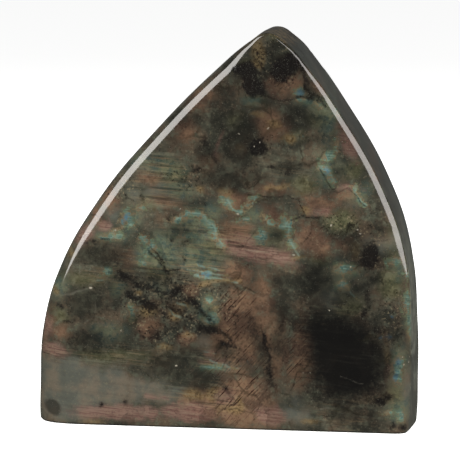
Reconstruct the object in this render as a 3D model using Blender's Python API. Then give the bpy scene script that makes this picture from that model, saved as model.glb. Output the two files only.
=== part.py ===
"""A free-standing sculpture of polished labradorite.

It is one natural stone: an upright slab with a leaning, pointed top, two broad polished faces, a rounded edge
all the way round, and a base that is sawn flat so that it stands. Metres, +Z up. The stone stands on z = 0, the
origin is under the middle of its box, and the face that is shown looks along -Y.
"""

import math

import bmesh
import bpy
from mathutils import Vector

NAME = "labradorite_stone"

# Driving dimensions of the finished stone
HEIGHT = 0.1184
WIDTH = 0.115
THICKNESS = 0.034

# The widest line of the stone seen from the front, clockwise from the tip, as shares of half the width and of
# the height. The slab runs on below z = 0, where the saw takes it off.
OUTLINE = (
    (0.222, 1.000),
    (0.327, 0.974),
    (0.443, 0.911),
    (0.580, 0.818),
    (0.810, 0.630),
    (0.954, 0.443),
    (0.994, 0.255),
    (0.999, 0.128),
    (0.983, -0.030),
    (0.800, -0.300),
    (0.000, -0.450),
    (-0.800, -0.300),
    (-0.990, -0.030),
    (-0.996, 0.110),
    (-0.972, 0.255),
    (-0.872, 0.411),
    (-0.676, 0.568),
    (-0.353, 0.755),
    (-0.032, 0.911),
    (0.123, 0.974),
)
STEPS_PER_SPAN = 8

# From the widest line, half way through the stone, the sides slope in to each broad face: hardly at all down to
# SLOPE_STARTS, and most at the foot, where the right side is the more tapered one. The angle along the widest
# line is rounded for WAIST_HALF on both its sides.
SLOPE_AT_TIP = 0.0002
SLOPE_STARTS = 0.082
WAIST_HALF = 0.0030
WAIST_STEPS = 3

# The rounding of a broad face's edge is tightest at the tip. Below WORN_BELOW the polisher's wheel has worn it
# wider, most of all onto the face at the left of the base.
TIP_REACH = 0.0012
WORN_BELOW = 0.060
EDGE_STEPS = 6

# What differs from side to side: the slope at the foot and the height where it is reached, how far the rounding
# reaches down the side and onto the face, the height where it is as wide as that, and how far it reaches when worn
LEFT = {
    "slope": 0.0014,
    "slope_full_below": 0.045,
    "side_reach": 0.0046,
    "face_reach": 0.0046,
    "reach_full_below": 0.108,
    "worn_side_reach": 0.0070,
    "worn_face_reach": 0.0140,
}
RIGHT = {
    "slope": 0.0022,
    "slope_full_below": 0.0,
    "side_reach": 0.0015,
    "face_reach": 0.0054,
    "reach_full_below": 0.082,
    "worn_side_reach": 0.0035,
    "worn_face_reach": 0.0042,
}

# Points of the two halves closer than JOIN are joined along the widest line. Points of the sawn edge closer than
# SLIVER are made one.
JOIN = 0.00001
SLIVER = 0.0001

# The narrow bevel ground round the sawn base, the only edge that turns more than SHARP_ANGLE
BASE_BEVEL = 0.0006
SHARP_ANGLE = math.radians(40)

# The stone's colour and polish, without its pattern
STONE_COLOUR = (0.075, 0.078, 0.066, 1.0)
STONE_ROUGHNESS = 0.12


def clear_scene():
    for thing in list(bpy.data.objects):
        bpy.data.objects.remove(thing, do_unlink=True)


def new_collection(name):
    collection = bpy.data.collections.new(name)
    bpy.context.scene.collection.children.link(collection)
    return collection


def polished_labradorite():
    material = bpy.data.materials.new("polished_labradorite")
    material.use_nodes = True
    shader = material.node_tree.nodes["Principled BSDF"]
    shader.inputs["Base Color"].default_value = STONE_COLOUR
    shader.inputs["Roughness"].default_value = STONE_ROUGHNESS
    shader.inputs["Metallic"].default_value = 0.0
    return material


def widest_line():
    """The points of the widest line, in the XZ plane, read off a smooth curve through OUTLINE."""
    curve = bpy.data.curves.new("widest_line", "CURVE")
    curve.dimensions = "3D"
    curve.resolution_u = STEPS_PER_SPAN
    spline = curve.splines.new("BEZIER")
    spline.bezier_points.add(len(OUTLINE) - 1)
    spline.use_cyclic_u = True
    for point, (across, up) in zip(spline.bezier_points, OUTLINE):
        point.co = (across * WIDTH / 2, 0.0, up * HEIGHT)
        point.handle_left_type = "AUTO"
        point.handle_right_type = "AUTO"
    guide = bpy.data.objects.new("widest_line", curve)
    bpy.context.scene.collection.objects.link(guide)
    graph = bpy.context.evaluated_depsgraph_get()
    wire = bpy.data.meshes.new_from_object(guide.evaluated_get(graph))
    bpy.data.objects.remove(guide, do_unlink=True)
    return [corner.co.copy() for corner in wire.vertices]


def inward_directions(line):
    """The unit vector into the outline, in its plane, at each of its points."""
    directions = []
    for index, place in enumerate(line):
        ahead = (line[(index + 1) % len(line)] - place).normalized()
        behind = (place - line[index - 1]).normalized()
        along = (ahead + behind).normalized()
        directions.append(Vector((along.z, 0.0, -along.x)))
    return directions


def eased(height, top, bottom):
    """Rises smoothly from 0 at the top height to 1 at the bottom height."""
    share = min(1.0, max(0.0, (top - height) / (top - bottom)))
    return share * share * (3.0 - 2.0 * share)


def rounded_corner(start, corner, end, steps):
    """Points of the curve that leaves one side of a corner at start and meets the other side at end."""
    shares = [step / steps for step in range(steps + 1)]
    return [start.lerp(corner, share).lerp(corner.lerp(end, share), share) for share in shares]


def side_section(place):
    """The stone's side from this point of the widest line to a broad face, as how far in and how deep."""
    side = LEFT if place.x < OUTLINE[0][0] * WIDTH / 2 else RIGHT
    tapered = eased(place.z, SLOPE_STARTS, side["slope_full_below"])
    slope = SLOPE_AT_TIP + (side["slope"] - SLOPE_AT_TIP) * tapered
    opened = eased(place.z, HEIGHT, side["reach_full_below"])
    worn = eased(place.z, WORN_BELOW, 0.0)
    side_reach = TIP_REACH + (side["side_reach"] - TIP_REACH) * opened
    side_reach += (side["worn_side_reach"] - side_reach) * worn
    face_reach = TIP_REACH + (side["face_reach"] - TIP_REACH) * opened
    face_reach += (side["worn_face_reach"] - face_reach) * worn
    middle = Vector((0.0, 0.0))
    waist = Vector((0.0, WAIST_HALF))
    edge = Vector((slope, THICKNESS / 2))
    along_side = (edge - waist).normalized()
    rounding_starts = edge - along_side * side_reach
    rounding_ends = edge + Vector((face_reach, 0.0))
    return (rounded_corner(middle, waist, waist + along_side * WAIST_HALF, WAIST_STEPS)
            + rounded_corner(rounding_starts, edge, rounding_ends, EDGE_STEPS))


def upright_slab():
    """The polished slab before its base is sawn. Its side changes along the widest line, so it is lofted."""
    line = widest_line()
    inward = inward_directions(line)
    sections = [side_section(place) for place in line]
    slab = bmesh.new()
    station = slab.verts.layers.int.new("station")
    corners = [slab.verts.new(place) for place in line]
    for index, corner in enumerate(corners):
        corner[station] = index
    rim = [slab.edges.new((corners[index - 1], corner)) for index, corner in enumerate(corners)]
    for ring in range(1, len(sections[0])):
        grown = bmesh.ops.extrude_edge_only(slab, edges=rim)["geom"]
        corners = {item for item in grown if isinstance(item, bmesh.types.BMVert)}
        rim = [item for item in grown if isinstance(item, bmesh.types.BMEdge) and set(item.verts) <= corners]
        for corner in corners:
            at = corner[station]
            how_far_in, how_deep = sections[at][ring]
            corner.co = line[at] + inward[at] * how_far_in
            corner.co.y = -how_deep
    bmesh.ops.contextual_create(slab, geom=rim)
    front = slab.verts[:] + slab.edges[:] + slab.faces[:]
    bmesh.ops.mirror(slab, geom=front, axis="Y", merge_dist=JOIN)
    return slab


def saw_base(slab):
    """Takes off the lower end, closes it with a flat base, and grinds the narrow bevel round that base."""
    everything = slab.verts[:] + slab.edges[:] + slab.faces[:]
    cut = bmesh.ops.bisect_plane(slab, geom=everything, dist=JOIN / 10, plane_co=(0.0, 0.0, BASE_BEVEL),
                                 plane_no=(0.0, 0.0, 1.0), clear_inner=True)["geom_cut"]
    corners = [item for item in cut if isinstance(item, bmesh.types.BMVert)]
    bmesh.ops.remove_doubles(slab, verts=corners, dist=SLIVER)
    rim = [edge for edge in slab.edges if edge.is_boundary]
    base = bmesh.ops.contextual_create(slab, geom=rim)["faces"]
    bmesh.ops.recalc_face_normals(slab, faces=slab.faces)
    bmesh.ops.inset_region(slab, faces=base, thickness=BASE_BEVEL, depth=BASE_BEVEL, use_even_offset=True)


def labradorite_stone(collection):
    slab = upright_slab()
    saw_base(slab)
    mesh = bpy.data.meshes.new(NAME)
    slab.to_mesh(mesh)
    slab.free()
    mesh.materials.append(polished_labradorite())
    mesh.shade_smooth()
    mesh.set_sharp_from_angle(angle=SHARP_ANGLE)
    stone = bpy.data.objects.new(NAME, mesh)
    collection.objects.link(stone)
    return stone


def main():
    clear_scene()
    labradorite_stone(new_collection("labradorite_sculpture"))


main()
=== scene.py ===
"""The looks of a free-standing sculpture of polished labradorite, on a plain pale floor in soft studio light.

The file follows the work: the camera, the stone with its form, wear, markings and polish, then the studio.
Everything is in metres, +Z up, and the shown face of the stone looks along -Y.
"""

import math

import bmesh
import bpy
import numpy as np
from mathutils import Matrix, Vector
from mathutils.geometry import delaunay_2d_cdt
from mathutils.noise import seed_set, turbulence_vector


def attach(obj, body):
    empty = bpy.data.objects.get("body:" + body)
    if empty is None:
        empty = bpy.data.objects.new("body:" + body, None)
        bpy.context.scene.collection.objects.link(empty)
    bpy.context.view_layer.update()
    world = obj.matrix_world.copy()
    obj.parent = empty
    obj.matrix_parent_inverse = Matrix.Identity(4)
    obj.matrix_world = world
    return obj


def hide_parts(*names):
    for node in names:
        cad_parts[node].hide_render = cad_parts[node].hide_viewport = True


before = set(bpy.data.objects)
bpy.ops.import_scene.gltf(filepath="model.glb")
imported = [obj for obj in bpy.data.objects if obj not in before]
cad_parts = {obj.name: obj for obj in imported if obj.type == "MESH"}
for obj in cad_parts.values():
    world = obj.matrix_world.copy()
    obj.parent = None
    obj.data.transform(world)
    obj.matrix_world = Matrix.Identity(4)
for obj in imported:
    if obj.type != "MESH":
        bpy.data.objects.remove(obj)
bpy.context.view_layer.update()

# The camera
# It looks at the shown face from a little to the right and a little above, through a long lens, as the
# photograph does. It comes first because the markings are placed by where they are seen.
PICTURE_SIDE = 460
CAMERA_AZIMUTH = math.radians(7)
CAMERA_ELEVATION = math.radians(9)
CAMERA_DISTANCE = 0.655
CAMERA_TARGET = Vector((0.0, 0.0, 0.0576))
METRES_PER_PIXEL = 0.0003024
PRINCIPAL_POINT = (229.5, 230.0)
SENSOR = 36.0

towards_camera = Vector((
    math.sin(CAMERA_AZIMUTH) * math.cos(CAMERA_ELEVATION),
    -math.cos(CAMERA_AZIMUTH) * math.cos(CAMERA_ELEVATION),
    math.sin(CAMERA_ELEVATION),
))
to_the_right = Vector((math.cos(CAMERA_AZIMUTH), math.sin(CAMERA_AZIMUTH), 0.0))
upwards = towards_camera.cross(to_the_right)
focal_pixels = CAMERA_DISTANCE / METRES_PER_PIXEL

camera = bpy.data.objects.new("camera", bpy.data.cameras.new("camera"))
bpy.context.scene.collection.objects.link(camera)
camera.location = CAMERA_TARGET + towards_camera * CAMERA_DISTANCE
camera.rotation_euler = towards_camera.to_track_quat("Z", "Y").to_euler()
camera.data.sensor_width = SENSOR
camera.data.lens = focal_pixels / PICTURE_SIDE * SENSOR
camera.data.shift_x = (PICTURE_SIDE / 2 - PRINCIPAL_POINT[0]) / PICTURE_SIDE
bpy.context.scene.camera = camera

# The stone
# One slab of labradorite, ground to an upright leaf shape and polished all over, with its base sawn flat. The
# two broad faces are flat, and the edge between face and side is rounded on the wheel, most at the foot.
HEIGHT = 0.1184
WIDTH = 0.115
THICKNESS = 0.034

# The widest line seen from the front, clockwise from the tip, as shares of half the width and of the height
OUTLINE = (
    (0.222, 1.000), (0.327, 0.974), (0.443, 0.911), (0.580, 0.818), (0.810, 0.630),
    (0.954, 0.443), (0.994, 0.255), (0.999, 0.128), (0.983, -0.030), (0.800, -0.300),
    (0.000, -0.450), (-0.800, -0.300), (-0.990, -0.030), (-0.996, 0.110), (-0.972, 0.255),
    (-0.872, 0.411), (-0.676, 0.568), (-0.353, 0.755), (-0.032, 0.911), (0.123, 0.974),
)
STEPS_PER_SPAN = 24
STATION_GAP = 0.0006
SPARE_BELOW = 0.006

# From the widest line the sides slope in to each broad face, and the face's edge is rounded: tightest at the
# tip, and worn wider below WORN_BELOW. The two sides differ in slope, in how far the rounding reaches down
# the side and onto the face, and in the heights where each is at its full.
SLOPE_AT_TIP = 0.0002
SLOPE_STARTS = 0.082
TIP_REACH = 0.0012
WORN_BELOW = 0.060
LEFT = {"slope": 0.0014, "slope_full_below": 0.045, "side_reach": 0.0046, "face_reach": 0.0046,
        "reach_full_below": 0.108, "worn_side_reach": 0.0070, "worn_face_reach": 0.0140}
RIGHT = {"slope": 0.0022, "slope_full_below": 0.0, "side_reach": 0.0015, "face_reach": 0.0054,
         "reach_full_below": 0.082, "worn_side_reach": 0.0035, "worn_face_reach": 0.0042}
WAIST_HALF = 0.0030
WAIST_STEPS = 4
FLANK_STEPS = 8
EDGE_STEPS = 14

# The triangles of the shown face are finer than those of the back. Points closer than MERGE are made one, and
# so are points of the sawn edge closer than SLIVER.
FRONT_GRAIN = 0.00046
BACK_GRAIN = 0.00085
MERGE = 0.000001
SLIVER = 0.0001
BASE_BEVEL = 0.0006
SHARP_ANGLE = math.radians(40)


def widest_line():
    """Evenly spaced places on a smooth curve through OUTLINE, from the left of the foot over the tip."""
    curve = bpy.data.curves.new("widest_line", "CURVE")
    curve.dimensions = "3D"
    curve.resolution_u = STEPS_PER_SPAN
    spline = curve.splines.new("BEZIER")
    spline.bezier_points.add(len(OUTLINE) - 1)
    spline.use_cyclic_u = True
    for point, (across, up) in zip(spline.bezier_points, OUTLINE):
        point.co = (across * WIDTH / 2, 0.0, up * HEIGHT)
        point.handle_left_type = "AUTO"
        point.handle_right_type = "AUTO"
    guide = bpy.data.objects.new("widest_line", curve)
    bpy.context.scene.collection.objects.link(guide)
    wire = bpy.data.meshes.new_from_object(guide.evaluated_get(bpy.context.evaluated_depsgraph_get()))
    bpy.data.objects.remove(guide, do_unlink=True)
    places = np.array([(corner.co.x, corner.co.z) for corner in wire.vertices])
    places = np.roll(places, -int(places[:, 1].argmin()), axis=0)
    travelled = np.concatenate(([0.0], np.hypot(*np.diff(places, axis=0).T).cumsum()))
    even = np.linspace(0.0, travelled[-1], round(travelled[-1] / STATION_GAP))
    line = np.column_stack([np.interp(even, travelled, places[:, axis]) for axis in (0, 1)])
    return line[line[:, 1] > -SPARE_BELOW]


def eased(height, top, bottom):
    """Rises smoothly from 0 at the top height to 1 at the bottom height."""
    share = np.clip((top - height) / (top - bottom), 0.0, 1.0)
    return share * share * (3.0 - 2.0 * share)


def rounded_corner(start, corner, end, steps):
    """Places on the curve that leaves one side of a corner at start and meets the other at end."""
    shares = np.linspace(0.0, 1.0, steps + 1)
    return [start * (1 - t) ** 2 + corner * 2 * t * (1 - t) + end * t ** 2 for t in shares]


def side_rings(line):
    """Rings from the widest line to a broad face, each as how far in and how deep at every station."""
    height = line[:, 1]
    on_left = line[:, 0] < OUTLINE[0][0] * WIDTH / 2
    side = {name: np.where(on_left, LEFT[name], RIGHT[name]) for name in LEFT}
    tapered = eased(height, SLOPE_STARTS, side["slope_full_below"])
    slope = SLOPE_AT_TIP + (side["slope"] - SLOPE_AT_TIP) * tapered
    opened = eased(height, HEIGHT, side["reach_full_below"])
    worn = eased(height, WORN_BELOW, 0.0)
    side_reach = TIP_REACH + (side["side_reach"] - TIP_REACH) * opened
    side_reach += (side["worn_side_reach"] - side_reach) * worn
    face_reach = TIP_REACH + (side["face_reach"] - TIP_REACH) * opened
    face_reach += (side["worn_face_reach"] - face_reach) * worn
    nothing = np.zeros(len(line))
    middle = np.column_stack([nothing, nothing])
    waist = np.column_stack([nothing, nothing + WAIST_HALF])
    edge = np.column_stack([slope, nothing + THICKNESS / 2])
    along_side = (edge - waist) / np.linalg.norm(edge - waist, axis=1)[:, None]
    waist_ends = waist + along_side * WAIST_HALF
    rounding_starts = edge - along_side * side_reach[:, None]
    rounding_ends = edge + np.column_stack([face_reach, nothing])
    flank_shares = np.linspace(0.0, 1.0, FLANK_STEPS + 1)[1:-1]
    flank = [waist_ends + (rounding_starts - waist_ends) * share for share in flank_shares]
    return (rounded_corner(middle, waist, waist_ends, WAIST_STEPS) + flank
            + rounded_corner(rounding_starts, edge, rounding_ends, EDGE_STEPS))


def broad_face(rim, grain):
    """Triangles that fill a broad face inside its rim with an even grain of points."""
    low = rim.min(axis=0)
    high = rim.max(axis=0)
    row_height = grain * math.sqrt(3) / 2
    rows = np.arange(low[1] + row_height, high[1], row_height)
    following = np.roll(rim, -1, axis=0)
    inner = []
    for number, height in enumerate(rows):
        crossed = (rim[:, 1] > height) != (following[:, 1] > height)
        start, end = rim[crossed], following[crossed]
        share = (height - start[:, 1]) / (end[:, 1] - start[:, 1])
        crossings = start[:, 0] + share * (end[:, 0] - start[:, 0])
        left, right = crossings.min() + grain / 2, crossings.max() - grain / 2
        first = low[0] + (number % 2) * grain / 2
        across = np.arange(first, high[0], grain)
        inner += [Vector((place, height)) for place in across[(across > left) & (across < right)]]
    outer = [Vector(place) for place in rim]
    filled = delaunay_2d_cdt(outer + inner, [], [list(range(len(outer)))], 1, MERGE / 10)
    return filled[0], filled[2]


def polished_slab():
    """The slab before its base is sawn: a loft round the edge, closed by the two broad faces."""
    line = widest_line()
    along = np.gradient(line, axis=0)
    along /= np.linalg.norm(along, axis=1)[:, None]
    inward = np.column_stack([along[:, 1], -along[:, 0]])
    rings = side_rings(line)
    slab = bmesh.new()
    loft = []
    for side, ring in [(1, ring) for ring in reversed(rings)] + [(-1, ring) for ring in rings[1:]]:
        places = line + inward * ring[:, :1]
        depths = side * ring[:, 1]
        loft.append([slab.verts.new((x, y, z)) for (x, z), y in zip(places, depths)])
    for ring, ring_after in zip(loft, loft[1:]):
        for station in range(len(ring) - 1):
            slab.faces.new((ring[station], ring[station + 1], ring_after[station + 1], ring_after[station]))
    rim = line + inward * rings[-1][:, :1]
    for depth, grain in ((THICKNESS / 2, BACK_GRAIN), (-THICKNESS / 2, FRONT_GRAIN)):
        places, triangles = broad_face(rim, grain)
        points = [slab.verts.new((place.x, depth, place.y)) for place in places]
        for triangle in triangles:
            slab.faces.new([points[corner] for corner in triangle])
    bmesh.ops.remove_doubles(slab, verts=slab.verts, dist=MERGE)
    return slab


def saw_base(slab):
    """Takes off the lower end, closes it with a flat base, and grinds the narrow bevel round that base."""
    everything = slab.verts[:] + slab.edges[:] + slab.faces[:]
    cut = bmesh.ops.bisect_plane(slab, geom=everything, dist=MERGE, plane_co=(0.0, 0.0, BASE_BEVEL),
                                 plane_no=(0.0, 0.0, 1.0), clear_inner=True)["geom_cut"]
    corners = [item for item in cut if isinstance(item, bmesh.types.BMVert)]
    bmesh.ops.remove_doubles(slab, verts=corners, dist=SLIVER)
    rim = [edge for edge in slab.edges if edge.is_boundary]
    base = bmesh.ops.contextual_create(slab, geom=rim)["faces"]
    bmesh.ops.recalc_face_normals(slab, faces=slab.faces)
    bmesh.ops.inset_region(slab, faces=base, thickness=BASE_BEVEL, depth=BASE_BEVEL, use_even_offset=True)


slab = polished_slab()
saw_base(slab)
mesh = bpy.data.meshes.new("polished_labradorite")
slab.to_mesh(mesh)
slab.free()
mesh.shade_smooth()
mesh.set_sharp_from_angle(angle=SHARP_ANGLE)
stone = bpy.data.objects.new("polished_labradorite", mesh)
bpy.context.scene.collection.objects.link(stone)

# The markings
# Crystals in the stone that flash, and the dark mineral, healed cracks and bright grains between them. Each
# kind is a set of shapes placed on the shown face, and runs on through the stone at a slant, as its layers
# do.
FADES_WITHIN = 20.0
FAR_OFF = 1.0

# For each metre into the stone the layers rise by LAYER_DIP and shift sideways by up to LAYER_SLANT. The
# shift changes up the stone as a wave does, which turns by SLANT_WAVE radians over the whole height.
LAYER_SLANT = 0.45
LAYER_DIP = 0.22
SLANT_WAVE_STARTS = 1.0
SLANT_WAVE = 2.2

# The layers are crumpled a little. The seed is fixed, so that they come out the same each time.
CRUMPLED_BY = 0.0008
CRUMPLES_PER_METRE = 170
CRUMPLE_OCTAVES = 4
CRUMPLE_SEED = 7


def on_front(across, down):
    """Where the shown face is met by the ray through a place in the picture."""
    aside = to_the_right * (across - PRINCIPAL_POINT[0]) - upwards * (down - PRINCIPAL_POINT[1])
    ray = aside / focal_pixels - towards_camera
    place = camera.location + ray * ((-THICKNESS / 2 - camera.location.y) / ray.y)
    return place.x, place.z


def from_blob(across, down, half_width, half_height, lean=0.0):
    """How many pixels each point of the stone is outside an oval, with less than nothing inside it."""
    middle = np.array(on_front(across, down))
    offset = (flat_places - middle) / METRES_PER_PIXEL
    turn = math.radians(lean)
    along = offset[:, 0] * math.cos(turn) + offset[:, 1] * math.sin(turn)
    aside = offset[:, 1] * math.cos(turn) - offset[:, 0] * math.sin(turn)
    return (np.hypot(along / half_width, aside / half_height) - 1.0) * min(half_width, half_height)


def from_segments(corners, closed):
    """How many pixels each point of the stone is from a line, with less than nothing inside a closed one."""
    corners = np.array([on_front(*corner) for corner in corners])
    nearest = np.full(len(flat_places), FAR_OFF)
    inside = np.zeros(len(flat_places), dtype=bool)
    x, z = flat_places.T
    ends = np.roll(corners, -1, axis=0) if closed else corners[1:]
    for (start_x, start_z), (end_x, end_z) in zip(corners, ends):
        run, rise = end_x - start_x, end_z - start_z
        share = ((x - start_x) * run + (z - start_z) * rise) / (run * run + rise * rise)
        share = np.clip(share, 0.0, 1.0)
        nearest = np.minimum(nearest, np.hypot(x - start_x - share * run, z - start_z - share * rise))
        if closed and start_z != end_z:
            inside ^= ((start_z > z) != (end_z > z)) & (x < run * (z - start_z) / rise + start_x)
    return np.where(inside, -nearest, nearest) / METRES_PER_PIXEL


def from_streak(half_width, *places):
    return from_segments(places, False) - half_width


def from_patch(*corners):
    return from_segments(corners, True)


# A blob is its middle, its half width, its half height and its lean in degrees. A streak is its half width,
# then its places. A patch is its corners. All are in picture pixels, from the picture's top left.
MARKINGS = {}

# Olive-green crystals
MARKINGS["green"] = {
    "blobs": (
        (323, 119, 13, 8), (132, 195, 9, 8), (295, 135.5, 7, 3), (169, 173, 17, 12), (390, 284, 11, 14),
        (346, 306, 16, 10), (83, 279, 17, 6), (117, 287, 6, 6), (111, 355, 36, 5), (270, 238, 12, 9),
        (396, 396, 11, 11), (245, 62.5, 3, 2, 30), (275, 33, 10, 5), (253, 99, 6, 4), (160, 262, 14, 18),
        (205, 250, 22, 10), (340, 222, 16, 10), (319, 259, 7, 5), (235, 120, 9, 8), (305, 185, 12, 8),
        (150, 200, 10, 8), (60, 315, 8, 7), (395, 240, 8, 14), (352, 170, 7, 10, -55), (330, 96, 5, 8, -55),
    ),
}

# Pale grey-green stone, clean and nearly without grain, at the foot and the left
MARKINGS["pale"] = {
    "patches": (
        ((41, 358), (66, 359), (68, 372), (66, 390), (72, 405), (90, 420), (44, 419), (40, 400), (40, 375)),
    ),
    "blobs": (
        (133, 195, 9, 8), (155, 194, 14, 7), (114, 213, 8, 9), (84, 388, 26, 24), (142, 388, 22, 11),
        (164, 394, 20, 7), (112, 386, 20, 20), (180, 396, 7, 4), (411, 400, 9, 26), (294, 415, 12, 8),
        (134, 397, 14, 7), (409, 418, 5, 6), (49, 398, 8, 14), (299, 400, 6, 7), (70, 366, 12, 12),
        (405, 240, 6, 40, -80), (205, 345, 9, 6), (330, 300, 8, 10),
    ),
}

# Crystals with a copper-brown sheen, painted into the colour
MARKINGS["copper_sheen"] = {
    "blobs": (
        (286, 86, 20, 12), (273, 125, 17, 14), (262, 419, 16, 7), (236, 200, 17, 10), (236, 234, 20, 11),
        (308, 237, 12, 14), (322, 205, 18, 8), (240, 402, 26, 26), (238, 335, 26, 44, -8), (262, 300, 10, 20),
        (205, 406, 26, 18), (236, 272, 15, 11), (318, 246, 12, 12), (264, 402, 12, 22),
        (270, 216, 15, 11, -35), (276, 345, 14, 30), (240, 236, 24, 9, -10), (48, 326, 5, 18),
        (60, 333, 9, 7), (186, 130, 10, 11), (150, 178, 9, 7), (318, 88, 7, 7), (348, 136, 7, 15, 32),
        (130, 259, 6, 7), (277, 190, 10, 4), (189, 292, 8, 7), (186, 338, 7, 7), (148, 328, 11, 10),
        (389, 366, 4, 16), (411, 333, 3, 6), (410, 310, 3, 5), (302, 355, 12, 28), (200, 100, 14, 8, 42),
        (165, 200, 12, 6), (110, 200, 8, 10, 40), (345, 197, 14, 5), (345, 245, 8, 6), (250, 320, 22, 10),
        (99, 217, 6, 9, 40), (205, 228, 10, 4), (240, 149, 6, 5), (209, 159, 5, 4), (384, 175, 5, 10, 30),
    ),
}

# Small tan grains
MARKINGS["tan"] = {
    "blobs": (
        (291, 40, 4, 5), (301.5, 61, 4, 4), (274, 124, 7, 5), (306, 210, 4, 3), (240, 147, 3.5, 3),
        (215, 308, 4, 2.5), (214, 394, 9, 7), (214, 412, 12, 6), (194, 395, 9, 6), (289, 139, 6, 4),
        (174, 314, 7, 5), (185, 306, 5, 1.5), (164, 346, 6, 3), (57, 293, 3, 3.5), (356, 250, 4, 7),
        (310, 421, 5, 2), (92, 422, 4, 1), (139, 292, 2, 2), (65, 251, 5, 9, 62), (147, 312, 8, 5),
        (188, 334, 4, 3), (386, 357, 2.5, 9), (410, 307, 3, 3, 40), (411, 336, 2, 4, 30), (232, 405, 12, 10),
        (225, 192, 5, 3), (296, 258, 4, 2), (200, 190, 4, 3),
    ),
    "streaks": (
        (6, (258, 47), (258, 64)), (1.6, (200, 284), (225, 281), (238, 281)), (1.2, (267, 188), (287, 187)),
        (1.0, (252, 115), (262, 113)), (1.3, (205, 353), (219, 352)),
    ),
}

# Crisp, bright edges of the crystals that flash, painted sheen along them
MARKINGS["edge"] = {
    "streaks": (
        (0.7, (186, 265.5), (204, 267), (224, 270)), (0.7, (188, 270.5), (208, 273), (228, 276.5)),
        (0.7, (196, 276), (220, 279), (236, 282.5)), (0.3, (203, 351), (217, 353)),
        (0.4, (200, 357), (214, 361), (226, 366), (238, 370)), (0.5, (166, 306), (172, 313), (181, 317)),
        (0.4, (178, 304), (186, 307), (191, 310)),
        (0.4, (262, 213), (268, 224), (276, 229), (284, 227), (289, 219)),
        (0.5, (288, 224), (289, 236), (293, 246), (298, 257)),
        (0.5, (296, 99.5), (306, 101), (315, 104), (321, 109)),
        (0.5, (228, 201), (231, 208), (238, 213), (247, 210), (255, 199)), (0.3, (292, 135), (303, 136)),
        (0.5, (322, 166), (329, 171), (334, 182)), (0.4, (355, 188), (360, 198), (367, 205)),
        (0.4, (175, 221), (190, 213), (202, 213), (211, 224), (217, 238), (224, 246)),
        (0.4, (121, 213), (125, 223), (131, 226)), (0.4, (141, 238), (150, 246), (156, 256)),
        (0.3, (340, 282), (348, 288), (354, 297), (359, 301)), (0.3, (92, 281), (104, 279), (112, 280)),
    ),
}

# Pinkish crystals, streaked by their layers
MARKINGS["pink"] = {
    "patches": (
        ((216, 238), (240, 240), (268, 246), (292, 255), (290, 263), (262, 261), (236, 252), (220, 246)),
    ),
    "blobs": (
        (258, 254, 34, 7, -12), (250, 240, 14, 4, -10), (348, 146, 5, 15, 32), (56, 351, 14, 6),
        (388, 368, 1.5, 3), (348, 188, 7, 2), (225, 397, 10, 8), (120, 413, 44, 8), (192, 413, 32, 9),
        (270, 416, 14, 9), (105, 225, 7, 6), (84, 236, 7, 12, -40), (320, 212, 8, 3), (48, 330, 5, 10),
    ),
    "streaks": (
        (2.5, (206, 353), (220, 351)), (2, (200, 361.5), (225, 361)), (1, (146, 396), (167, 396.5)),
        (1, (173, 404), (196, 404)), (1, (173, 408.5), (196, 409)), (0.8, (223, 132), (213, 155)),
    ),
}

# Dark crystals between those that flash
MARKINGS["dark"] = {
    "blobs": (
        (319, 291, 16, 30), (242, 145, 20, 30), (350, 412, 22, 11), (272, 238, 10, 8), (312, 92, 8, 9),
        (338, 298, 16, 12), (354, 250, 10, 12), (190, 352, 14, 8), (226, 352, 12, 10), (264, 352, 8, 24, 20),
        (225, 179, 24, 12), (254, 177, 12, 9), (274, 156, 8, 6), (134, 317, 7, 6), (232, 114, 10, 7),
        (98, 256, 22, 13), (85, 304, 22, 16), (86, 342, 17, 11), (173, 364, 23, 14), (201, 379, 12, 12),
        (268, 366, 4, 22), (373, 416, 8, 15), (181, 232, 14, 8), (206, 154, 10, 12), (288, 60, 22, 15),
        (288, 167, 15, 6), (319, 138, 15, 5), (279, 283, 9, 10), (357, 288, 8, 8), (218, 121, 8, 14),
        (210, 153, 5, 8), (301, 116, 24, 9, -14), (303, 397, 7, 7), (378, 362, 12, 24), (374, 280, 6, 5),
        (281, 316, 7, 22, -10), (160, 280, 16, 6), (345, 330, 30, 14), (197, 118, 6, 6), (377, 228, 6, 6),
        (340, 172, 8, 10, -40), (175, 110, 8, 5, 42), (225, 92, 7, 7, 42), (395, 338, 10, 6),
        (278, 340, 10, 24, -12),
    ),
}

# Wide, soft places where the stone is dim
MARKINGS["shade"] = {
    "blobs": (
        (262, 90, 54, 54), (264, 127, 12, 12), (352, 240, 12, 12), (190, 308, 25, 12, -30),
        (118, 282, 18, 22), (168, 300, 34, 14, -30), (208, 332, 26, 15, -30), (289, 366, 14, 29),
        (380, 354, 22, 46), (358, 282, 22, 42), (177, 130, 28, 16, 45), (234, 173, 16, 8), (172, 136, 10, 8),
        (196, 114, 12, 7, 42), (229, 113, 18, 14), (344, 134, 14, 28, 35), (209, 338, 9, 7), (148, 270, 8, 6),
        (207, 152, 8, 12), (242, 140, 16, 28), (254, 332, 13, 32), (166, 326, 20, 14), (334, 352, 54, 50),
        (94, 336, 22, 12), (232, 337, 12, 18), (300, 360, 12, 24), (372, 412, 8, 18), (314, 284, 14, 24),
    ),
}

# The window, clear dark stone that the eye looks deep into
MARKINGS["window"] = {
    "patches": (
        ((303, 321), (316, 314), (346, 316), (366, 325), (378, 345), (384, 374), (377, 396), (352, 401),
         (324, 398), (315, 387), (306, 365), (302, 340)),
    ),
}
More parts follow.
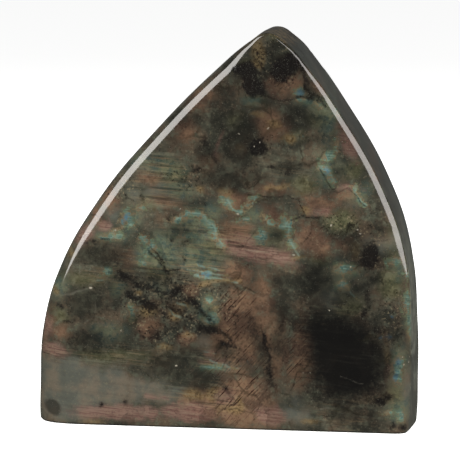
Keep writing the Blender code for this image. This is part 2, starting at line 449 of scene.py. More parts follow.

# Teal flashes, painted sheen fixed in the colour
MARKINGS["flash"] = {
    "blobs": (
        (125, 217, 4, 8, -40), (129, 222, 4, 4), (144, 240, 4, 3.5), (150, 250, 2, 5, -35),
        (142, 261.5, 3, 2.5), (300.5, 92, 5, 3.5), (336.5, 112, 1.5, 2), (263, 237, 6, 7), (228, 203, 4, 3),
        (239, 212, 1.5, 1.5), (248, 203, 1.5, 1.5), (255, 198, 2, 1.5), (328, 155, 5, 3),
        (152, 246, 4, 7, 35), (395, 262, 6, 3.5), (409, 277, 2.5, 2), (345, 270, 10, 4), (342, 286, 6, 4.5),
        (210, 299, 4, 3), (211, 319, 7, 6), (131, 311, 2, 5), (396.5, 362, 3.5, 4), (398, 371, 5, 13),
        (415, 315, 1.5, 4), (413, 333, 2, 4), (388, 414, 3, 2), (402, 417, 4, 5), (285, 223, 3, 5),
        (206, 275, 4, 1.5), (141, 208.5, 3, 2), (106, 271, 6, 3), (412, 322, 4, 5), (409, 304, 4, 9),
        (186, 236, 5, 2),
    ),
    "streaks": (
        (2.5, (101, 239), (120, 236)), (1.2, (296, 100), (306, 101), (315, 104), (320, 108)),
        (2.6, (175, 222), (190, 214), (201, 214), (210, 225), (216, 238), (223, 245)),
        (1.2, (221, 197), (226, 206), (236, 212), (243, 209), (250, 199), (256, 198)),
        (1.0, (262, 214), (270, 225), (282, 227), (289, 219)), (2, (291, 221), (288, 236), (293, 246)),
        (2.5, (320, 168), (327, 171), (333, 181)), (1.3, (354, 187), (360, 200), (366, 205)),
        (1.5, (203, 367), (219, 366.5)), (1, (338, 140), (338, 149)), (1, (110, 234), (122, 226)),
        (1, (239, 219.5), (248, 219.5)),
    ),
}

# The dim teal round the flashes, painted sheen
MARKINGS["sheen_haze"] = {
    "blobs": (
        (196, 226, 16, 17), (254, 214, 9, 7), (212, 211, 8, 8), (202, 262, 18, 7), (263, 238, 11, 10),
        (328, 173, 11, 10), (400, 268, 6, 8), (59, 288, 7, 9), (119, 289, 6, 6), (339, 168, 6, 6),
        (160, 289, 6, 5), (100, 339, 8, 4), (112, 236, 14, 6), (347, 272, 14, 8), (318, 106, 20, 8, -25),
        (208, 311, 9, 14), (108, 332, 14, 8), (174, 234, 10, 8), (397, 366, 8, 20), (400, 412, 12, 10),
        (130, 219, 9, 11), (146, 252, 8, 14, -35), (341, 286, 9, 8), (252, 100, 8, 5), (326, 154, 8, 5),
        (328, 126, 6, 17), (163, 250, 16, 18), (194, 253, 12, 7), (360, 196, 6, 10, -40), (412, 318, 6, 14),
        (155, 163, 20, 6, -8), (215, 366, 14, 3), (178, 190, 14, 8),
    ),
}

# Where the thin layers show most as streaks
MARKINGS["striated"] = {
    "blobs": (
        (192, 268, 42, 22), (238, 240, 34, 22), (345, 414, 34, 16), (130, 355, 70, 10), (190, 222, 30, 14),
        (200, 395, 36, 16), (210, 360, 26, 14), (330, 350, 36, 50), (284, 168, 20, 8), (120, 270, 40, 20),
        (160, 180, 30, 30),
    ),
}

# Where the hatching across the layers shows
MARKINGS["hatched"] = {
    "blobs": ((240, 375, 32, 52), (236, 310, 22, 30), (296, 350, 14, 34),),
}

# Where the grain is coarse
MARKINGS["grit"] = {
    "blobs": (
        (170, 310, 50, 34), (188, 178, 20, 12), (365, 250, 22, 24), (280, 60, 26, 24), (245, 142, 24, 14),
        (340, 225, 20, 12), (215, 310, 22, 26), (394, 318, 12, 26), (120, 190, 20, 14),
    ),
}

# The black mineral
MARKINGS["black"] = {
    "patches": (
        ((234, 66), (249, 62), (259, 73), (263, 88), (267, 99), (258, 97), (245, 95), (243, 78), (233, 70)),
        ((287, 50), (296, 51), (306, 60), (305, 70), (299, 69), (288, 80), (276, 83), (269, 72), (270, 61),
         (280, 58)),
    ),
    "blobs": (
        (256.5, 51.5, 2, 1.5), (265, 33, 1.5, 1), (258, 146, 10, 8), (370, 257, 9, 13), (177, 292, 6, 8, -30),
        (193, 302, 8, 4, -25), (207, 329, 12, 5, -10), (226, 344, 9, 3, -20), (139, 286, 9, 3, -30),
        (126, 277, 9, 2.5), (131, 297, 7, 3.5, -35), (148, 306, 9, 5, -30), (380, 401, 5, 3),
        (387, 397, 3, 3), (60, 306, 2.5, 2.5), (69, 312, 2, 1.5, -30), (66, 321, 4, 1.2), (101, 405, 2, 2),
        (125, 403, 2, 2), (125, 197, 2, 1.5), (142, 196, 1.5, 1.5), (144, 199, 1.5, 2), (198, 169.5, 3, 1.3),
        (205, 203, 1.5, 1.5), (168, 218, 1.5, 1.5), (186, 242, 2, 1.3), (173, 240, 1.5, 1),
        (155, 252, 3, 1.5, -40), (184, 257, 1.3, 2.5), (242, 264, 3, 1), (349, 225, 2, 1.5),
        (388.5, 202, 1.3, 1.3), (299, 136.5, 1.5, 1), (287, 173, 3, 2), (271, 166, 2, 2), (367, 300, 2, 8),
        (364, 314, 3, 6), (402, 427, 4, 3), (392, 426, 2, 3), (378, 330, 6, 1.5), (226, 390, 1.5, 5, 40),
    ),
    "streaks": (
        (1.5, (303, 70), (306, 83), (306, 90), (313, 95), (323, 99)),
        (0.8, (295, 96), (310, 100), (322, 103), (327, 108)),
        (1.0, (136, 300), (146, 302), (156, 311), (168, 316)), (0.8, (140, 334), (152, 337), (160, 334)),
        (1.2, (175, 283), (181, 296), (189, 305)), (0.7, (86, 244), (98, 241), (109, 239)),
        (1.8, (120, 272), (136, 283), (150, 290), (166, 292)),
        (1.8, (264, 334), (267, 350), (269, 366), (272, 386)),
        (1.6, (166, 306), (180, 313), (194, 322), (210, 326)),
        (1.0, (196, 305), (205, 314), (212, 324), (230, 340), (240, 350)),
        (0.8, (150, 251), (160, 262), (168, 272), (172, 284)), (0.9, (255, 60), (266, 72), (278, 76)),
        (0.7, (205, 140), (208, 152), (214, 160)),
    ),
}

# A round dark spot at the left of the foot
MARKINGS["spot"] = {
    "blobs": ((54, 409.6, 7.5, 7.5),),
}

# Healed cracks
MARKINGS["crack"] = {
    "streaks": (
        (0.5, (248, 194), (250, 194.7), (270, 196.4), (287, 198), (300, 201), (303, 209), (304, 215),
         (291, 221)), (0.6, (296, 60), (303, 75), (305, 88), (311, 95), (321, 100), (326, 108)),
        (0.5, (262, 97), (280, 100), (300, 97), (312, 99)), (0.4, (226, 240), (245, 244), (262, 247)),
        (0.5, (304, 217), (320, 218)),
        (0.4, (315, 164), (320, 171), (330, 185), (337, 191), (348, 189), (355, 195), (362, 203),
         (369, 208), (381, 211)), (0.5, (369, 243), (376, 242), (386, 240), (391, 240)),
        (0.5, (41, 355), (57, 357), (66, 358)), (0.5, (165, 270), (180, 270)),
        (0.4, (218, 416), (240, 395), (263.5, 371.5)), (0.3, (288, 313), (269, 346)),
        (0.3, (146, 243), (155, 251), (163, 264), (166, 270)), (0.3, (310, 217), (312, 232), (303, 244)),
        (0.4, (120, 189), (126, 196), (134, 201)), (0.3, (380, 211), (388, 226), (391, 227)),
    ),
}

# Bright grains
MARKINGS["bright"] = {
    "blobs": (
        (237, 214.6, 0.9, 0.8), (220, 128, 0.6, 0.6), (239, 133, 0.6, 0.6), (261, 141, 0.7, 0.7),
        (255, 145, 0.6, 0.6), (175.6, 367, 1.2, 1), (91.4, 288.6, 1.4, 1.2), (402, 358, 0.8, 0.8),
        (404, 365, 0.9, 0.9), (410, 364, 1, 1), (406, 357.5, 0.7, 0.7), (411, 359, 0.7, 0.7),
        (331, 226, 1, 1), (358, 229.5, 0.9, 0.9), (355, 228, 0.7, 0.7), (361, 234, 0.8, 0.8),
        (310, 371, 0.7, 0.7), (304, 371.5, 0.6, 0.6), (329, 310, 0.7, 0.7), (122, 331, 0.7, 0.7),
        (116, 230, 1, 0.8), (351, 268, 1, 0.8), (342, 282, 0.9, 0.7), (293, 255, 0.9, 0.7),
        (181, 208, 0.7, 0.7), (268, 127, 0.8, 0.6),
    ),
    "streaks": ((0.1, (241, 219.5), (248, 219.3)),),
}

# Pale scratches
MARKINGS["scratch"] = {
    "streaks": (
        (0.0, (340, 376), (362, 383)), (0.0, (376, 382), (387, 385)),
        (0.6, (58, 297), (64, 295), (73, 293), (81, 291), (91, 288.6)), (0.6, (320, 410), (329, 410)),
        (0.2, (96, 302), (97, 312)), (0.2, (84, 322), (91, 318)),
    ),
}

# Blue in the flashes, painted sheen
MARKINGS["blue"] = {
    "blobs": (
        (125, 218, 2.5, 5, -35), (300, 93, 3, 2), (327, 171, 2.5, 3), (397, 361, 2.5, 3),
        (391, 316, 1.2, 1.4), (381.4, 337, 1.3, 1.2), (390, 337, 1.3, 1), (396, 377, 2, 4), (206, 275, 3, 1),
    ),
}

corners = np.array([corner.co for corner in mesh.vertices])
depth = corners[:, 1] + THICKNESS / 2
flat_places = np.column_stack([
    corners[:, 0] + LAYER_SLANT * depth * np.sin(SLANT_WAVE_STARTS + corners[:, 2] / HEIGHT * SLANT_WAVE),
    corners[:, 2] - LAYER_DIP * depth,
])
seed_set(CRUMPLE_SEED)
crumples = [turbulence_vector(corner.co * CRUMPLES_PER_METRE, CRUMPLE_OCTAVES, False)
            for corner in mesh.vertices]
flat_places += np.array(crumples)[:, (0, 2)] * CRUMPLED_BY
for kind, shapes in MARKINGS.items():
    nearest = np.full(len(corners), FADES_WITHIN)
    for measure, group in ((from_blob, "blobs"), (from_streak, "streaks"), (from_patch, "patches")):
        for shape in shapes.get(group, ()):
            nearest = np.minimum(nearest, measure(*shape))
    mesh.attributes.new(kind, "FLOAT", "POINT").data.foreach_set("value", nearest)
# How far each point faces sideways; it lays on the sides' tones, with their painted reflection.
facing = np.array([corner.normal.y for corner in mesh.vertices])
mesh.attributes.new("flank", "FLOAT", "POINT").data.foreach_set("value", 1.0 - np.abs(facing))

# The wear
# The polisher's wheel leaves the faces very slightly wavy, opens the cracks as fine grooves and plucks grains
# out of the dark mineral. The sawn base is left flat.
WAVE_HEIGHT = 0.000035
WAVE_SIZE = 0.011
GROOVE_DEPTH = 0.00007
PLUCK_DEPTH = 0.00005
PLUCKS_PER_METRE = 900.0
FLAT_BELOW = 0.0012
WEAR_SEED = 7

# How many pixels outside a marking its wear starts, and how many inside it the wear is at its full. The same
# two values of a noise pick the grains that are plucked out.
GROOVED = (1.2, -0.3)
PLUCKED = (0.6, -1.2)
PICKED_GRAINS = (0.42, 0.62)


def added(tree, kind, inputs=None, **settings):
    """A new node with its settings made and its inputs filled, each by a value or another node's output."""
    node = tree.nodes.new(kind)
    for name, value in settings.items():
        setattr(node, name, value)
    for name, value in (inputs or {}).items():
        if isinstance(value, bpy.types.NodeSocket):
            tree.links.new(value, node.inputs[name])
        else:
            node.inputs[name].default_value = value
    return node


def reckoned(tree, operation, first, second=0.0):
    return added(tree, "ShaderNodeMath", {0: first, 1: second}, operation=operation).outputs[0]


def mapped(tree, value, low, high, to_low=0.0, to_high=1.0, shape="SMOOTHSTEP"):
    return added(tree, "ShaderNodeMapRange", {"Value": value, "From Min": low, "From Max": high,
                                              "To Min": to_low, "To Max": to_high},
                 interpolation_type=shape).outputs["Result"]


wear = bpy.data.node_groups.new("polisher_wear", "GeometryNodeTree")
wear.interface.new_socket("Geometry", in_out="OUTPUT", socket_type="NodeSocketGeometry")
wear.interface.new_socket("Geometry", in_out="INPUT", socket_type="NodeSocketGeometry")
wear_values = {"Wave height": WAVE_HEIGHT, "Wave size": WAVE_SIZE, "Groove depth": GROOVE_DEPTH,
               "Pluck depth": PLUCK_DEPTH, "Flat below": FLAT_BELOW, "Seed": WEAR_SEED}
for name in wear_values:
    wear.interface.new_socket(name, in_out="INPUT", socket_type="NodeSocketFloat")
wear.interface.new_socket("Material", in_out="INPUT", socket_type="NodeSocketMaterial")
given = added(wear, "NodeGroupInput").outputs
at = added(wear, "GeometryNodeInputPosition").outputs[0]
height_above_base = added(wear, "ShaderNodeSeparateXYZ", {0: at}).outputs["Z"]


def stored(name):
    return added(wear, "GeometryNodeInputNamedAttribute", {"Name": name},
                 data_type="FLOAT").outputs["Attribute"]


waves = added(wear, "ShaderNodeTexNoise", {"Vector": at, "W": given["Seed"], "Detail": 1.0,
                                           "Scale": reckoned(wear, "DIVIDE", 1.0, given["Wave size"])},
              noise_dimensions="4D").outputs["Fac"]
wavy = reckoned(wear, "MULTIPLY", reckoned(wear, "SUBTRACT", waves, 1.0), given["Wave height"])
grooves = reckoned(wear, "MULTIPLY", mapped(wear, stored("crack"), *GROOVED), given["Groove depth"])
plucks = added(wear, "ShaderNodeTexNoise", {"Vector": at, "Scale": PLUCKS_PER_METRE,
                                            "Detail": 2.0}).outputs["Fac"]
plucked = reckoned(wear, "MULTIPLY", mapped(wear, stored("black"), *PLUCKED),
                   reckoned(wear, "MULTIPLY", mapped(wear, plucks, *PICKED_GRAINS), given["Pluck depth"]))
lowered = reckoned(wear, "SUBTRACT", wavy, reckoned(wear, "ADD", grooves, plucked))
above = mapped(wear, height_above_base, given["Flat below"],
               reckoned(wear, "MULTIPLY", given["Flat below"], 2.0))
offset = added(wear, "ShaderNodeVectorMath", {0: added(wear, "GeometryNodeInputNormal").outputs[0],
                                              "Scale": reckoned(wear, "MULTIPLY", lowered, above)},
               operation="SCALE").outputs[0]
worn_stone = added(wear, "GeometryNodeSetPosition", {"Geometry": given["Geometry"], "Offset": offset})
whole_stone = added(wear, "GeometryNodeRealizeInstances", {"Geometry": worn_stone.outputs["Geometry"]})
finished_stone = added(wear, "GeometryNodeSetMaterial", {"Geometry": whole_stone.outputs["Geometry"],
                                                         "Material": given["Material"]})
added(wear, "NodeGroupOutput", {"Geometry": finished_stone.outputs["Geometry"]})

# The polish and the colours
# Feldspar polished to a clear gloss over a dim, mottled ground. Thin layers in it throw back teal, green and
# copper where they lie right, always a little streaky; that play of colour is painted sheen, fixed in the
# stone's colour so that it does not change with the view. The dark mineral is duller than the rest.
STUDIO_LIGHT = 1.63
MIRRORED = 0.009
GLOSS = 0.07
DULL = 0.22
FELDSPAR_IOR = 1.56
GRAIN_RELIEF = 0.35
BLACK_RELIEF = -1.2
RELIEF_STRENGTH = 0.12
RELIEF_DEPTH = 0.00008

# Pigments as they are seen on the shown face, in red, green and blue out of 255. A pattern mixes a pair.
# SHADE is how much light the dim places keep.
GROUND = ((63, 62, 54), (86, 84, 72))
BROWN_MOTTLE = (90, 78, 65)
GREEN_MOTTLE = (92, 96, 82)
DARK_MOTTLE = (50, 52, 46)
DARK_STREAK = (46, 45, 39)
LIGHT_STREAK = (128, 130, 112)
TAN_STREAK = (128, 112, 88)
DARK_HATCH = (54, 37, 31)
LIGHT_HATCH = (150, 122, 96)
DARK_GRAIN = (44, 41, 35)
LIGHT_GRAIN = (146, 134, 108)
# The flash pigments and the crisp edge pigment below are painted sheen.
FLASH_RIM = ((112, 118, 86), (124, 104, 78))
FLASH = ((76, 110, 106), (124, 154, 142))
CRISP_SHEEN_EDGE = ((128, 152, 140), (142, 132, 98))
BLUE_FLASH = (84, 120, 140)
DARK_CRYSTAL = ((40, 40, 36), (58, 58, 50))
WINDOW = ((28, 27, 25), (46, 45, 41))
OPEN_SEAM = (38, 36, 29)
BLACK_MINERAL = ((29, 27, 23), (64, 64, 56))
FINE_SPECK = (158, 156, 142)
SHADE = (0.48, 0.48, 0.49, 1.0)


def pigment(red, green, blue):
    """The stone's own colour that looks like this one on the shown face in this studio's light."""
    seen = [((part / 255 + 0.055) / 1.055) ** 2.4 for part in (red, green, blue)]
    return tuple(max(0.001, (part - MIRRORED) / STUDIO_LIGHT) for part in seen) + (1.0,)


material = bpy.data.materials.new("polished_labradorite")
material.use_nodes = True
tree = material.node_tree
shader = tree.nodes["Principled BSDF"]
place = added(tree, "ShaderNodeTexCoord").outputs["Object"]


def noise(per_metre, detail=3.0, vector=place, roughness=0.55):
    return added(tree, "ShaderNodeTexNoise", {"Vector": vector, "Scale": per_metre, "Detail": detail,
                                              "Roughness": roughness}).outputs["Fac"]


def turned(angle, stretch):
    """Places turned in the plane of the face and squeezed across that direction, for streaks along it."""
    turned_places = added(tree, "ShaderNodeVectorRotate", {"Vector": place, "Axis": (0.0, 1.0, 0.0),
                                                           "Angle": math.radians(angle)}).outputs[0]
    return added(tree, "ShaderNodeVectorMath", {0: turned_places, 1: (1.0, stretch / 3, stretch)},
                 operation="MULTIPLY").outputs[0]


def blended(share, below, above, blend="MIX"):
    return added(tree, "ShaderNodeMix", {0: share, 6: below, 7: above}, data_type="RGBA",
                 blend_type=blend).outputs[2]


def times(share, amount):
    return reckoned(tree, "MULTIPLY", share, amount)


def where(pattern, starts, ends):
    """0 short of one value of a pattern, 1 past the other, and a smooth rise between them."""
    return mapped(tree, pattern, starts, ends)


def rising(marking, outside, inside):
    """A share that goes from one value outside a marking to another inside it."""
    return mapped(tree, marking, 0.0, 1.0, outside, inside)


def tones(share, pair):
    return blended(share, pigment(*pair[0]), pigment(*pair[1]))


def laid_on(colour, places, share, tone):
    """The colours so far with one pigment over them in places, where it covers them by that share."""
    return blended(times(places, share), colour, pigment(*tone))


# The patterns in the stone, from the widest to the finest, by how many go in a metre. The streaks follow its
# thin layers, which lie nearly level, and the hatching crosses them.
STREAK_LEAN = -5.0
HATCH_LEAN = 48.0
clouds = noise(42.0, 4.0)
blotches = noise(150.0, 4.0)
mottle = noise(430.0, 4.0)
grain = noise(1500.0, 3.0)
speck = noise(3400.0, 2.0)
streaks = noise(60.0, 4.0, turned(STREAK_LEAN, 14.0), 0.65)
fine_streaks = noise(150.0, 3.0, turned(STREAK_LEAN, 16.0), 0.6)
hatch = noise(150.0, 3.0, turned(HATCH_LEAN, 13.0), 0.6)
ragged = reckoned(tree, "SUBTRACT", reckoned(tree, "ADD", mottle, grain), 1.0)


def marked(kind, softness, raggedness):
    """How far a place belongs to one kind of marking, whose limit is this soft and this ragged in pixels."""
    distance = added(tree, "ShaderNodeAttribute", attribute_name=kind).outputs["Fac"]
    uneven = reckoned(tree, "ADD", distance, times(ragged, raggedness))
    return where(uneven, softness, -softness)


# The ground is grey stone, mottled with brown, green and dark.
colour = tones(where(clouds, 0.40, 0.62), GROUND)
colour = laid_on(colour, where(blotches, 0.46, 0.64), 0.8, BROWN_MOTTLE)
colour = laid_on(colour, where(mottle, 0.52, 0.68), 0.7, GREEN_MOTTLE)
colour = laid_on(colour, where(blotches, 0.50, 0.34), 0.7, DARK_MOTTLE)

# The crystals lie over it in this order. Each row is their kind, how soft and how ragged their limit is, how
# far they cover, the pattern that mixes their two pigments with its values, and the two pigments.
covered = {}
for kind, softness, raggedness, share, pattern, starts, ends, pair in (
        ("green", 6.0, 14.0, 0.75, mottle, 0.42, 0.60, ((78, 80, 58), (104, 104, 78))),
        ("pale", 7.0, 16.0, 0.8, blotches, 0.38, 0.62, ((98, 101, 93), (117, 110, 97))),
        ("copper_sheen", 6.0, 16.0, 0.85, blotches, 0.38, 0.60, ((92, 72, 60), (126, 100, 80))),
        ("sheen_haze", 8.0, 16.0, 0.8, mottle, 0.40, 0.60, ((74, 92, 85), (108, 116, 94))),
        ("tan", 3.0, 8.0, 0.65, grain, 0.40, 0.60, ((118, 98, 66), (150, 130, 92))),
        ("pink", 3.5, 8.0, 0.75, fine_streaks, 0.40, 0.60, ((114, 86, 78), (140, 114, 102)))):
    covered[kind] = marked(kind, softness, raggedness)
    colour = blended(times(covered[kind], share), colour, tones(where(pattern, starts, ends), pair))
pale = covered["pale"]

# Streaks, hatching and coarse grain show most where they are marked, and the pale stone has little grain.
striated = marked("striated", 9.0, 10.0)
hatched = marked("hatched", 7.0, 10.0)
gritty = marked("grit", 7.0, 12.0)
dark_grained = times(rising(gritty, 0.35, 0.85), reckoned(tree, "SUBTRACT", 1.0, times(pale, 0.75)))
colour = laid_on(colour, where(streaks, 0.50, 0.34), rising(striated, 0.12, 0.60), DARK_STREAK)
colour = laid_on(colour, where(streaks, 0.54, 0.68), rising(striated, 0.05, 0.38), LIGHT_STREAK)
colour = laid_on(colour, where(fine_streaks, 0.52, 0.66), times(striated, 0.45), TAN_STREAK)
colour = laid_on(colour, where(hatch, 0.46, 0.34), times(hatched, 0.95), DARK_HATCH)
colour = laid_on(colour, where(hatch, 0.56, 0.72), times(hatched, 0.5), LIGHT_HATCH)
colour = laid_on(colour, where(grain, 0.46, 0.34), dark_grained, DARK_GRAIN)
colour = laid_on(colour, where(grain, 0.58, 0.70), rising(gritty, 0.22, 0.70), LIGHT_GRAIN)

# A flash is green and tan at its rim and teal inside, broken up by the layers, and some crystals have crisp,
# bright edges. Flashes and edges are painted sheen, fixed in the colour.
flash = marked("flash", 5.5, 14.0)
broken = mapped(tree, reckoned(tree, "ADD", fine_streaks, mottle), 0.82, 1.12, 0.42, 1.0)
lamellae = reckoned(tree, "ADD", times(fine_streaks, 0.4), times(grain, 0.6))
rim = times(times(where(flash, 0.05, 0.45), 0.85), broken)
colour = blended(rim, colour, tones(where(mottle, 0.44, 0.56), FLASH_RIM))
colour = blended(times(where(flash, 0.24, 0.92), broken), colour, tones(where(lamellae, 0.40, 0.62), FLASH))
crisp = times(marked("edge", 1.2, 1.6), 0.7)
colour = blended(crisp, colour, tones(where(mottle, 0.48, 0.56), CRISP_SHEEN_EDGE))
colour = laid_on(colour, marked("blue", 2.2, 5.0), 0.65, BLUE_FLASH)

# Dark crystals, the dim places round them, and the window, where the eye looks deep into clear dark stone
dark = times(marked("dark", 8.0, 8.0), 0.8)
colour = blended(dark, colour, tones(where(mottle, 0.40, 0.66), DARK_CRYSTAL))
shaded = blended(1.0, colour, SHADE, "MULTIPLY")
colour = blended(times(marked("shade", 14.0, 10.0), 0.85), colour, shaded)
window = marked("window", 16.0, 14.0)
# The window's faint lighter streaks are painted glints along its layers.
glints = times(where(streaks, 0.54, 0.76), 0.35)
colour = blended(times(window, 0.97), colour, tones(glints, WINDOW))

# The stone has grown together from plates that differ a little in tone, and some seams between them are open.
FOLDS_PER_METRE = 160.0
FOLDED_BY = (0.006, 0.006, 0.006)
SEAMS_PER_METRE = 95.0
SEAM_HALF = 0.055
PLATES_PER_METRE = 150.0
PLATE_TONES = (0.78, 1.22)
folds = added(tree, "ShaderNodeTexNoise", {"Vector": place, "Scale": FOLDS_PER_METRE, "Detail": 3.0})
folded = added(tree, "ShaderNodeVectorMath", {0: folds.outputs["Color"], 1: FOLDED_BY, 2: place},
               operation="MULTIPLY_ADD").outputs[0]
seams = added(tree, "ShaderNodeTexVoronoi", {"Vector": folded, "Scale": SEAMS_PER_METRE},
              feature="DISTANCE_TO_EDGE").outputs["Distance"]
plates = added(tree, "ShaderNodeTexVoronoi", {"Vector": folded, "Scale": PLATES_PER_METRE}).outputs["Color"]
plate = added(tree, "ShaderNodeSeparateColor", {0: plates}).outputs[0]
plate_tone = mapped(tree, plate, 0.0, 1.0, *PLATE_TONES, "LINEAR")
toned = added(tree, "ShaderNodeVectorMath", {0: colour, "Scale": plate_tone}, operation="SCALE").outputs[0]
colour = blended(reckoned(tree, "SUBTRACT", 0.9, times(pale, 0.7)), colour, toned)
opened = times(where(seams, SEAM_HALF, 0.0), where(noise(75.0, 2.0), 0.50, 0.66))
colour = laid_on(colour, opened, reckoned(tree, "SUBTRACT", 0.55, times(pale, 0.55)), OPEN_SEAM)

# The black mineral, then what is small and sharp, with how soft, how ragged and how strong each is. Fine
# specks lie over all of it, and are fainter in the window and the black.
black = marked("black", 2.6, 6.0)
colour = blended(times(black, 0.93), colour, tones(where(speck, 0.60, 0.72), BLACK_MINERAL))
for kind, softness, raggedness, share, tone in (
        ("spot", 2.0, 1.0, 0.75, (48, 47, 42)),
        ("crack", 1.0, 2.0, 0.85, (32, 29, 24)),
        ("scratch", 1.0, 0.4, 0.4, (130, 128, 116)),
        ("bright", 0.55, 0.3, 1.0, (180, 174, 158))):
    colour = laid_on(colour, marked(kind, softness, raggedness), share, tone)
plain = reckoned(tree, "SUBTRACT", 0.45, reckoned(tree, "MAXIMUM", times(window, 0.4), times(black, 0.3)))
colour = laid_on(colour, where(speck, 0.69, 0.74), plain, FINE_SPECK)

# The sides are plainer, veined and mottled stone: light low on the right, grey on the left, tan over the tip.
# The light tone low on the right is painted reflection of the bright surroundings, laid over the veined
# stone.
RIGHT_SIDE_AND_REFLECTION = ((158, 164, 148), (88, 92, 84))
RIGHT_REFLECTION_FADES = (0.040, 0.075)
LEFT_SIDE = (118, 118, 110)
LEFT_SIDE_BEGINS = (0.02, -0.01)
SIDE_VEIN = (62, 62, 54)
SIDE_MOTTLE = (62, 63, 57)
TIP_SIDE = ((56, 50, 39), (132, 114, 84))
TIP_BEGINS = (0.1130, 0.1165)
SIDE_SHARE = 0.6
flank = where(added(tree, "ShaderNodeAttribute", attribute_name="flank").outputs["Fac"], 0.25, 0.85)
at_place = added(tree, "ShaderNodeSeparateXYZ", {0: place}).outputs
right_side_and_reflection = tones(where(at_place["Z"], *RIGHT_REFLECTION_FADES), RIGHT_SIDE_AND_REFLECTION)
side = blended(where(at_place["X"], *LEFT_SIDE_BEGINS), right_side_and_reflection, pigment(*LEFT_SIDE))
veins = noise(95.0, 5.0, folded, 0.65)
side = laid_on(side, where(veins, 0.56, 0.42), 0.75, SIDE_VEIN)
side = laid_on(side, where(mottle, 0.58, 0.40), 0.45, SIDE_MOTTLE)
side = blended(where(at_place["Z"], *TIP_BEGINS), side, tones(where(mottle, 0.44, 0.56), TIP_SIDE))
colour = blended(times(flank, SIDE_SHARE), colour, side)

# The polish is duller on the black mineral and on the coarse grains, and both stand in very fine relief.
dull_black = times(black, where(speck, 0.40, 0.62))
dullness = reckoned(tree, "MAXIMUM", dull_black, where(grain, 0.62, 0.74))
relief = reckoned(tree, "ADD", times(grain, GRAIN_RELIEF), times(black, times(speck, BLACK_RELIEF)))
bump = added(tree, "ShaderNodeBump", {"Height": relief, "Strength": RELIEF_STRENGTH,
                                      "Distance": RELIEF_DEPTH})
tree.links.new(colour, shader.inputs["Base Color"])
tree.links.new(mapped(tree, dullness, 0.0, 1.0, GLOSS, DULL, "LINEAR"), shader.inputs["Roughness"])
tree.links.new(bump.outputs["Normal"], shader.inputs["Normal"])
shader.inputs["IOR"].default_value = FELDSPAR_IOR

# The wear is worked into the stone's own mesh, and the polish goes on with it.
modifier = stone.modifiers.new("polisher_wear", "NODES")
modifier.node_group = wear
for socket in wear.interface.items_tree:
    if socket.in_out == "INPUT" and socket.name in wear_values:
        modifier[socket.identifier] = float(wear_values[socket.name])
    elif socket.in_out == "INPUT" and socket.name == "Material":
        modifier[socket.identifier] = material
graph = bpy.context.evaluated_depsgraph_get()
finished = bpy.data.meshes.new_from_object(stone.evaluated_get(graph), preserve_all_data_layers=True,
                                           depsgraph=graph)
stone.modifiers.remove(modifier)
stone.data = finished
finished.name = "polished_labradorite"

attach(stone, "root")
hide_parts("labradorite_stone")

# The studio
# A white sweep that the camera sees as plain white, dim grey all round for the polish to mirror, and two
# softboxes whose reflections run down the rounded edges. The fill from behind isn't mirrored, because it
# would draw a white line over the tip.
FLOOR_SIDE = 6.0
FLOOR_WHITE = 0.8
FLOOR_ROUGHNESS = 0.9
FLOOR_GLOW = 0.85
ROOM_TINT = (0.97, 1.0, 0.98, 1.0)
ROOM_GREY = 0.14
ROOM_GREY_BEHIND = 0.07
ROOM_DIMS = (-0.2, 0.7)
SOFTBOX_DISTANCE = 0.7

floor_mesh = bpy.data.meshes.new("floor")
half = FLOOR_SIDE / 2
floor_corners = [(-half, -half, 0), (half, -half, 0), (half, half, 0), (-half, half, 0)]
floor_mesh.from_pydata(floor_corners, [], [(0, 1, 2, 3)])
floor = bpy.data.objects.new("floor", floor_mesh)
bpy.context.scene.collection.objects.link(floor)
floor.visible_glossy = False
floor.visible_diffuse = False
white_sweep = bpy.data.materials.new("white_sweep")
white_sweep.use_nodes = True
sweep_shader = white_sweep.node_tree.nodes["Principled BSDF"]
sweep_shader.inputs["Base Color"].default_value = (FLOOR_WHITE, FLOOR_WHITE, FLOOR_WHITE, 1.0)
sweep_shader.inputs["Roughness"].default_value = FLOOR_ROUGHNESS
sweep_shader.inputs["Specular IOR Level"].default_value = 0.0
sweep_shader.inputs["Emission Color"].default_value = (1.0, 1.0, 1.0, 1.0)
sweep_shader.inputs["Emission Strength"].default_value = FLOOR_GLOW
floor_mesh.materials.append(white_sweep)

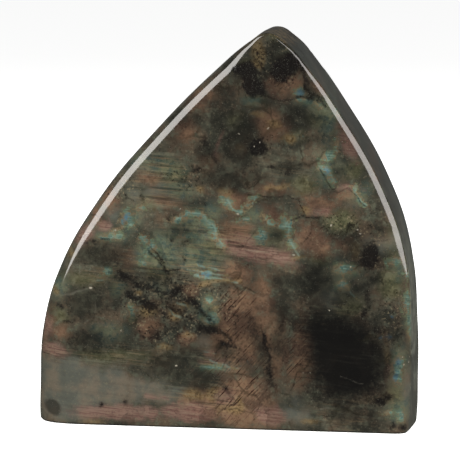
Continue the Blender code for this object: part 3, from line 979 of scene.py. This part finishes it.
room = bpy.data.worlds.new("studio")
bpy.context.scene.world = room
room.use_nodes = True
room_nodes = room.node_tree.nodes
room_links = room.node_tree.links
room_nodes.clear()
seen_by = room_nodes.new("ShaderNodeLightPath")
backdrop = room_nodes.new("ShaderNodeBackground")
backdrop.inputs["Color"].default_value = (1.0, 1.0, 1.0, 1.0)
surroundings = room_nodes.new("ShaderNodeBackground")
surroundings.inputs["Color"].default_value = ROOM_TINT
heading = added(room.node_tree, "ShaderNodeSeparateXYZ",
                {0: added(room.node_tree, "ShaderNodeTexCoord").outputs["Generated"]}).outputs["Y"]
greyness = mapped(room.node_tree, heading, *ROOM_DIMS, ROOM_GREY, ROOM_GREY_BEHIND)
room_links.new(greyness, surroundings.inputs["Strength"])
either = room_nodes.new("ShaderNodeMixShader")
room_links.new(seen_by.outputs["Is Camera Ray"], either.inputs["Fac"])
room_links.new(surroundings.outputs["Background"], either.inputs[1])
room_links.new(backdrop.outputs["Background"], either.inputs[2])
room_output = room_nodes.new("ShaderNodeOutputWorld")
room_links.new(either.outputs["Shader"], room_output.inputs["Surface"])


def softbox(name, bearing, elevation, width, height, glow, colour):
    """A softbox turned to the stone. Bearing 0 is straight in front of it, and positive to the right."""
    lamp = bpy.data.lights.new(name, "AREA")
    lamp.shape = "RECTANGLE"
    lamp.size = width
    lamp.size_y = height
    lamp.energy = glow * math.pi * width * height
    lamp.color = colour
    box = bpy.data.objects.new(name, lamp)
    bpy.context.scene.collection.objects.link(box)
    side, rise = math.radians(bearing), math.radians(elevation)
    out = Vector((math.sin(side) * math.cos(rise), -math.cos(side) * math.cos(rise), math.sin(rise)))
    box.location = CAMERA_TARGET + out * SOFTBOX_DISTANCE
    box.rotation_euler = out.to_track_quat("Z", "Y").to_euler()
    box.visible_camera = False
    return box


softbox("left_softbox", bearing=-40, elevation=20, width=0.47, height=0.5, glow=9.0,
        colour=(1.0, 0.97, 0.93))
softbox("right_softbox", bearing=48, elevation=16, width=0.73, height=0.52, glow=6.8,
        colour=(1.0, 0.95, 0.92))
back_fill = softbox("back_fill", bearing=180, elevation=58, width=1.0, height=0.6, glow=2.5,
                    colour=(1.0, 1.0, 1.0))
back_fill.visible_glossy = False

bpy.context.scene.view_settings.view_transform = "Standard"
